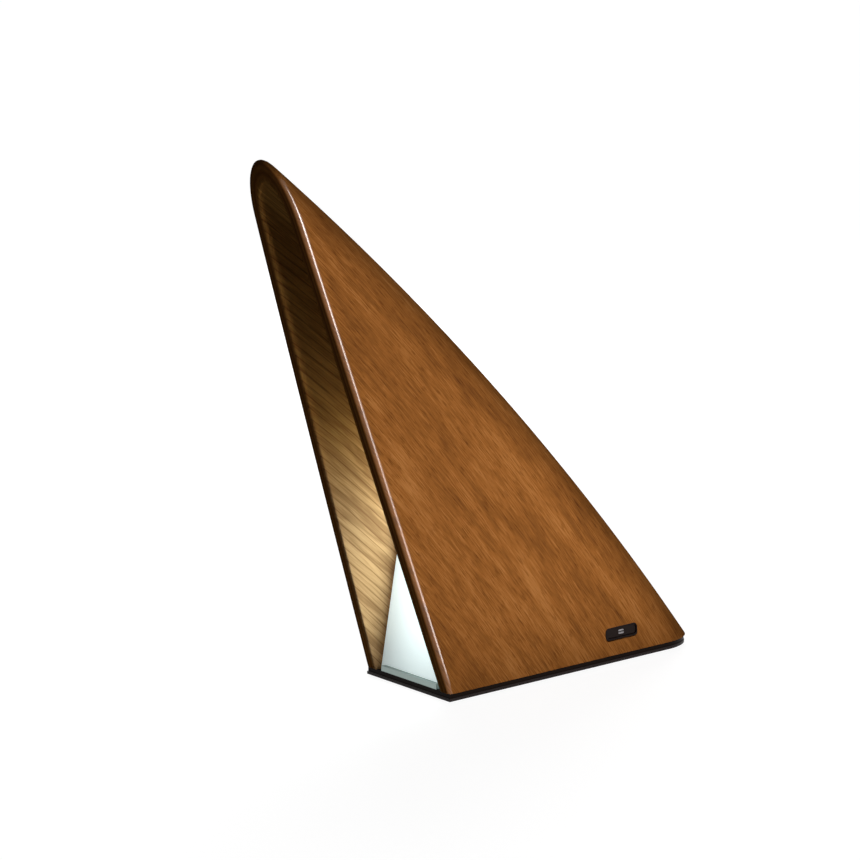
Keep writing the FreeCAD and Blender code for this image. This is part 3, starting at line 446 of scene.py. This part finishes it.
hood = {
    "height": 270 * mm,                   # ridge tip above the hood's foot, before the edge is rounded
    "footDepth": 177 * mm,
    "frontWidth": 70 * mm,
    "frontLean": 18.0,                    # degrees
    "ridgeBow": 10.9 * mm,
    "ridgeRadius": 19.7 * mm,
    "wall": 8 * mm,
    "legRound": 2.4 * mm,                 # outer edge of the opening, down the legs
    "tipRound": 2.0 * mm,                 # and at the tip
    "innerRound": 0.7 * mm,
    "roundEase": 3,                       # power that keeps the change of rounding near the tip
    "footRound": 0.5 * mm,                # outer edge of the foot
    "roundSteps": 6,
    "footSteps": 2,
    "legCuts": 40,
    "foldSteps": 32,
    "rows": 60,
    "margin": 12 * mm,                    # run of the rough hood past its foot
    "smoothAngle": 35,                    # degrees
}

touching = {
    # how near counts as on it
    "frontPlane": 0.001 * mm,
    "footPlane": 0.0001 * mm,
    "footEdge": 0.02 * mm,
    "outerFace": 0.05 * mm,
}

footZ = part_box("wood_shell")[0].z
lean = radians(hood["frontLean"])
frontY = -hood["footDepth"] / 2
backY = hood["footDepth"] / 2
tipY = frontY - hood["height"] * tan(lean)


def ridgeCircle():
    # the ridge is an arc through the tip and the back of the foot
    run = backY - tipY
    rise = hood["height"]
    bow = hood["ridgeBow"]
    chord = hypot(run, rise)
    radius = (chord * chord / 4 + bow * bow) / (2 * bow)
    drop = radius - bow
    return (backY + tipY) / 2 - drop * rise / chord, footZ + rise / 2 - drop * run / chord, radius


axisY, axisZ, ridgeArc = ridgeCircle()
axisPoint = Vector((0, axisY, axisZ))
frontDepth = ridgeArc - hypot(frontY - axisY, footZ - axisZ)
foldDrop = frontDepth - hood["ridgeRadius"]
fold = (acos(hood["ridgeRadius"] / hypot(hood["frontWidth"] / 2, foldDrop))
        - atan2(foldDrop, hood["frontWidth"] / 2))


def behindFront(place):
    # level distance from the leaning front plane
    return place.y - frontY + (place.z - footZ) * tan(lean)


def frontAngle(radius):
    # where a circle round the axis meets the leaning front plane
    reach = (frontY - axisY + (footZ - axisZ) * tan(lean)) * cos(lean)
    return asin(reach / radius) - lean


def sheet(inset):
    # rounded V of the folded sheet, slid to the front plane and then spun back round the axis
    bm = bmesh.new()
    radius = hood["ridgeRadius"] - inset
    foldCentre = axisPoint + Vector((0, 0, ridgeArc - hood["ridgeRadius"]))
    start = bm.verts.new(foldCentre + Vector((radius * cos(fold), 0, radius * sin(fold))))
    bmesh.ops.spin(bm, geom=[start], cent=foldCentre, axis=(0, -1, 0),
                   angle=pi - 2 * fold, steps=hood["foldSteps"])
    legLength = (frontDepth + hood["margin"] - hood["ridgeRadius"] + radius * sin(fold)) / cos(fold)
    legs = []
    for top in [v for v in bm.verts if len(v.link_edges) == 1]:
        side = 1 if top.co.x > 0 else -1
        low = bm.verts.new(top.co + Vector((side * sin(fold), 0, -cos(fold))) * legLength)
        legs.append(bm.edges.new((top, low)))
    bmesh.ops.subdivide_edges(bm, edges=legs, cuts=hood["legCuts"])
    for v in bm.verts:
        turn = Matrix.Rotation(-frontAngle(v.co.z - axisZ), 3, "X")
        bmesh.ops.rotate(bm, cent=axisPoint, matrix=turn, verts=[v])
    backAngle = atan2(backY - axisY, footZ - axisZ) + hood["margin"] / ridgeArc
    bmesh.ops.spin(bm, geom=bm.verts[:] + bm.edges[:], cent=axisPoint, axis=(-1, 0, 0),
                   angle=backAngle - frontAngle(ridgeArc), steps=hood["rows"])
    return toMesh(bm, "sheet")


def rimEdges(bm, firstVert, lastVert):
    # open edges of one sheet that lie in the front plane
    def inFront(v):
        return abs(behindFront(v.co)) < touching["frontPlane"]
    return [e for e in bm.edges if e.is_boundary and all(inFront(v) for v in e.verts)
            and firstVert <= e.verts[0].index < lastVert]


def roundRim(bm, weight, outer, inner):
    # the edge is sanded rounder down the legs than at the tip
    widths = {}
    for edges, legRound in ((outer, hood["legRound"]), (inner, hood["innerRound"])):
        for e in edges:
            height = (e.verts[0].co.z + e.verts[1].co.z) / 2 - footZ
            share = min(1, max(0, height / hood["height"])) ** hood["roundEase"]
            radius = legRound + (hood["tipRound"] - legRound) * share
            widths[e] = radius / tan((pi - e.calc_face_angle(pi / 2)) / 2)
    widest = max(widths.values())
    for e, width in widths.items():
        e[weight] = width / widest
    return widest


def inSheet(place):
    # how far a point is from the middle of the ridge, along the sheet, and how deep in its wall
    point = place - axisPoint
    radius = hood["ridgeRadius"]
    down = ridgeArc - hypot(point.y, point.z)
    side = abs(point.x)
    if side * sin(fold) > (radius - down) * cos(fold):
        across = radius * (pi / 2 - fold) + (down - radius * (1 - sin(fold))) / cos(fold)
        return across, radius - side * cos(fold) - (radius - down) * sin(fold)
    return radius * atan2(side, radius - down), radius - hypot(side, radius - down)


def cutFoot(bm):
    # level foot, its outer edge lightly rounded
    cut = bmesh.ops.bisect_plane(bm, geom=bm.verts[:] + bm.edges[:] + bm.faces[:],
                                 dist=touching["footPlane"], plane_co=(0, 0, footZ),
                                 plane_no=(0, 0, -1), clear_outer=True)
    edges = [e for e in cut["geom_cut"] if isinstance(e, bmesh.types.BMEdge)]
    bmesh.ops.edgeloop_fill(bm, edges=edges)
    bmesh.ops.recalc_face_normals(bm, faces=bm.faces[:])
    outer = [e for e in edges if e.is_valid
             and all(inSheet(v.co)[1] < touching["footEdge"] for v in e.verts)]
    bmesh.ops.bevel(bm, geom=outer, offset=hood["footRound"], segments=hood["footSteps"], profile=0.5,
                    affect="EDGES", clamp_overlap=True, material=-1)


pocket = {
    "buttonLength": 23.2 * mm,
    "buttonHeight": 7.0 * mm,
    "buttonCorner": 2.6 * mm,
    "inletWidth": 15.2 * mm,
    "inletHeight": 9.2 * mm,
    "inletRound": 0.499,                  # of its height, just short of a half circle
    "cornerSteps": 8,
    "depth": 24 * mm,
}


def cutter(name, length, height, corner, place):
    # rounded bar that makes a hole in the wood
    depth = pocket["depth"]
    bm = bmesh.new()
    bmesh.ops.create_cube(bm, size=1, matrix=Matrix.Diagonal((length, height, depth, 1)))
    uprights = [e for e in bm.edges if abs(e.verts[0].co.z - e.verts[1].co.z) > depth / 2]
    bmesh.ops.bevel(bm, geom=uprights, offset=corner, segments=pocket["cornerSteps"], profile=0.5,
                    affect="EDGES", material=-1)
    bm.transform(place)
    return addObject(name, toMesh(bm, name))


def buttonPlace():
    # X along the button, Y up the side, Z out of the wood
    joint = frame["joints"][0]
    out = -Vector(joint["axis"]).normalized()
    along = Vector((-out.y, out.x, 0)).normalized()
    up = out.cross(along)
    face = Matrix((along, up, out)).transposed().to_4x4()
    face.translation = (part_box("button_cap")[0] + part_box("button_cap")[1]) / 2
    return face


def inletPlace():
    low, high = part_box("socket_liner")
    place = Matrix.Rotation(pi / 2, 4, "X")
    place.translation = Vector((0, (low.y + high.y) / 2, (low.z + high.z) / 2))
    return place


def veneerMap(mesh):
    # one flat sheet folded over the ridge: u runs down the ridge, v across it
    layer = mesh.uv_layers.new(name="veneer")
    wallDepth = mesh.attributes.new("wallDepth", "FLOAT", "POINT")
    fromFold = mesh.attributes.new("fromFold", "FLOAT", "POINT")
    sheetPlace = []
    for v in mesh.vertices:
        across, wallDepth.data[v.index].value = inSheet(v.co)
        fromFold.data[v.index].value = across
        along = ridgeArc * atan2(v.co.y - axisY, v.co.z - axisZ)
        sheetPlace.append((along, across if v.co.x > 0 else -across))
    for loop in mesh.loops:
        layer.data[loop.index].uv = sheetPlace[loop.vertex_index]
    for face in mesh.polygons:
        # 0 outside, 1 rounded outer edge, 2 the rest of the edge and inside
        depth = sum(wallDepth.data[i].value for i in face.vertices) / len(face.vertices)
        front = behindFront(face.center) * cos(lean)
        across = min(fromFold.data[i].value for i in face.vertices)
        if depth < veneer["edgeOuter"] and front < hood["legRound"] and across > veneer["lacquerFrom"]:
            face.material_index = 1
        elif depth > touching["outerFace"]:
            face.material_index = 2


def makeHood():
    # two sheets bridged at the front, the rim rounded, the foot cut level, the holes cut last
    bm = bmesh.new()
    for inset in (0, hood["wall"]):
        bm.from_mesh(sheet(inset))
    weight = bm.edges.layers.float.new("bevel_weight_edge")
    bm.verts.index_update()
    half = len(bm.verts) // 2
    outer = rimEdges(bm, 0, half)
    inner = rimEdges(bm, half, 2 * half)
    bmesh.ops.bridge_loops(bm, edges=outer + inner)
    bmesh.ops.recalc_face_normals(bm, faces=bm.faces[:])
    widest = roundRim(bm, weight, outer, inner)
    piece = newPiece("hood", bm, slotFinish["stained_ply"], "lamp")
    piece.data.materials.append(plyVeneer("lacqueredEdge", roughness=0.26, reflectance=0.38, openPores=0.0))
    piece.data.materials.append(plyVeneer("oiledPly", roughness=0.6, reflectance=0.0, openPores=0.5))
    rim = piece.modifiers.new("rim", "BEVEL")
    rim.limit_method = "WEIGHT"
    rim.offset_type = "OFFSET"
    rim.width = widest
    rim.segments = hood["roundSteps"]
    rim.profile = 0.5
    rim.use_clamp_overlap = False
    finished(piece)
    bm = bmesh.new()
    bm.from_mesh(piece.data)
    cutFoot(bm)
    bm.to_mesh(piece.data)
    bm.free()
    tools = [
        cutter("buttonHole", pocket["buttonLength"], pocket["buttonHeight"], pocket["buttonCorner"],
               buttonPlace()),
        cutter("inletHole", pocket["inletWidth"], pocket["inletHeight"],
               pocket["inletHeight"] * pocket["inletRound"], inletPlace()),
    ]
    for tool in tools:
        hole = piece.modifiers.new(tool.name, "BOOLEAN")
        hole.operation = "DIFFERENCE"
        hole.solver = "FAST"
        hole.object = tool
    finished(piece)
    for tool in tools:
        bpy.data.objects.remove(tool)
    veneerMap(piece.data)
    piece.data.shade_smooth()
    piece.data.set_sharp_from_angle(angle=radians(hood["smoothAngle"]))
    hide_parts("wood_shell")
    return piece


hoodPiece = makeHood()
print("hood:", len(hoodPiece.data.polygons), "faces")


# Studio: pale floor, soft light from the right, white all round

studio = {
    "floorHalf": 20.0,                    # metres
    "floorWhite": (0.93, 1.0),            # beside the object and further out
    "floorFade": (0.25, 0.8),             # metres from the object
    "floorGrey": 0.18,                    # linear, what the lamps light
    "ambient": 0.045,
}
white = hexColour("#FFFFFF")


def seenWhite(tree):
    # 1 where the camera, a reflection or a clear material looks, else 0
    path = addNode(tree, "ShaderNodeLightPath")
    seen = path.outputs["Is Camera Ray"]
    for ray in ("Is Glossy Ray", "Is Transmission Ray"):
        seen = addNode(tree, "ShaderNodeMath", {"operation": "MAXIMUM"}, None,
                       {0: seen, 1: path.outputs[ray]}).outputs[0]
    return seen


def makeFloor():
    # matt grey that takes the shadow, over a white that is only seen
    material, shader = newMaterial("paleFloor")
    place = addNode(material, "ShaderNodeTexCoord")
    away = addNode(material, "ShaderNodeVectorMath", {"operation": "LENGTH"}, None,
                   {0: place.outputs["Object"]})
    level = addNode(material, "ShaderNodeMapRange", smooth,
                    {"From Min": studio["floorFade"][0], "From Max": studio["floorFade"][1],
                     "To Min": studio["floorWhite"][0], "To Max": studio["floorWhite"][1]},
                    {"Value": away.outputs["Value"]})
    strength = addNode(material, "ShaderNodeMath", {"operation": "MULTIPLY"}, None,
                       {0: level.outputs["Result"], 1: seenWhite(material)})
    connect(material, strength.outputs[0], shader.inputs["Emission Strength"])
    shader.inputs["Emission Color"].default_value = white
    shader.inputs["Base Color"].default_value = (*[studio["floorGrey"]] * 3, 1)
    shader.inputs["Roughness"].default_value = 1.0
    shader.inputs["Specular IOR Level"].default_value = 0.0
    bm = bmesh.new()
    bmesh.ops.create_grid(bm, x_segments=1, y_segments=1, size=studio["floorHalf"])
    floor = addObject("floor", toMesh(bm, "floor"))
    floor.data.materials.append(material)


def makeWorld():
    world = bpy.data.worlds.new("studio")
    world.use_nodes = True
    scene.world = world
    back = world.node_tree.nodes["Background"]
    back.inputs["Color"].default_value = white
    level = addNode(world, "ShaderNodeMapRange", None, {"To Min": studio["ambient"]},
                    {"Value": seenWhite(world)})
    connect(world, level.outputs["Result"], back.inputs["Strength"])


lamps = {
    # metres and watts
    "bounce": {"place": (0.46, 0.16, 0.004), "aim": (0.46, 0.16, 1), "size": (0.74, 0.46), "power": 2.45},
    "key": {"place": (1.0, -0.09, 0.16), "aim": (0, -0.05, 0.13), "size": (0.3, 0.3), "power": 7.0},
    "rim": {"place": (0.97, 0.05, 0.38), "aim": (0.03, -0.1, 0.38), "size": (0.25, 0.75), "power": 25},
    "rimFoot": {"place": (0.5, -0.03, 0.005), "aim": (0.5, -0.03, 1), "size": (0.86, 0.1), "power": 4.2},
    "fill": {"place": (-0.96, 0.66, 0.7), "aim": (0, 0, 0.12), "size": (0.7, 0.7), "power": 16},
}


def makeLamp(name, place, aim, size, power):
    data = bpy.data.lights.new(name, "AREA")
    data.shape = "RECTANGLE"
    data.size, data.size_y = size
    data.energy = power
    lamp = addObject(name, data)
    lamp.location = place
    lamp.rotation_mode = "QUATERNION"
    lamp.rotation_quaternion = (Vector(aim) - Vector(place)).to_track_quat("-Z", "Y")
    lamp.visible_camera = False
    lamp.visible_diffuse = not name.startswith("rim")  # rim lamps give a sheen and no light
    return lamp


def lightPanel():
    # lamp just in front of the panel, which carries the diodes' light into the hood
    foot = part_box("light_panel")[0]
    tilt = radians(glow["panelTilt"])
    rise = glow["lampRise"]
    place = Vector((0, foot.y + rise * tan(tilt) - glow["lampGap"], foot.z + rise))
    aim = place + Vector((0, -cos(tilt), sin(tilt)))
    lamp = makeLamp("panelGlow", place, aim, glow["lampSize"], glow["lampPower"])
    lamp.data.color = hexColour(glow["lampColour"])[:3]


makeFloor()
makeWorld()
for name, lamp in lamps.items():
    makeLamp(name, **lamp)
lightPanel()
print("studio lit")
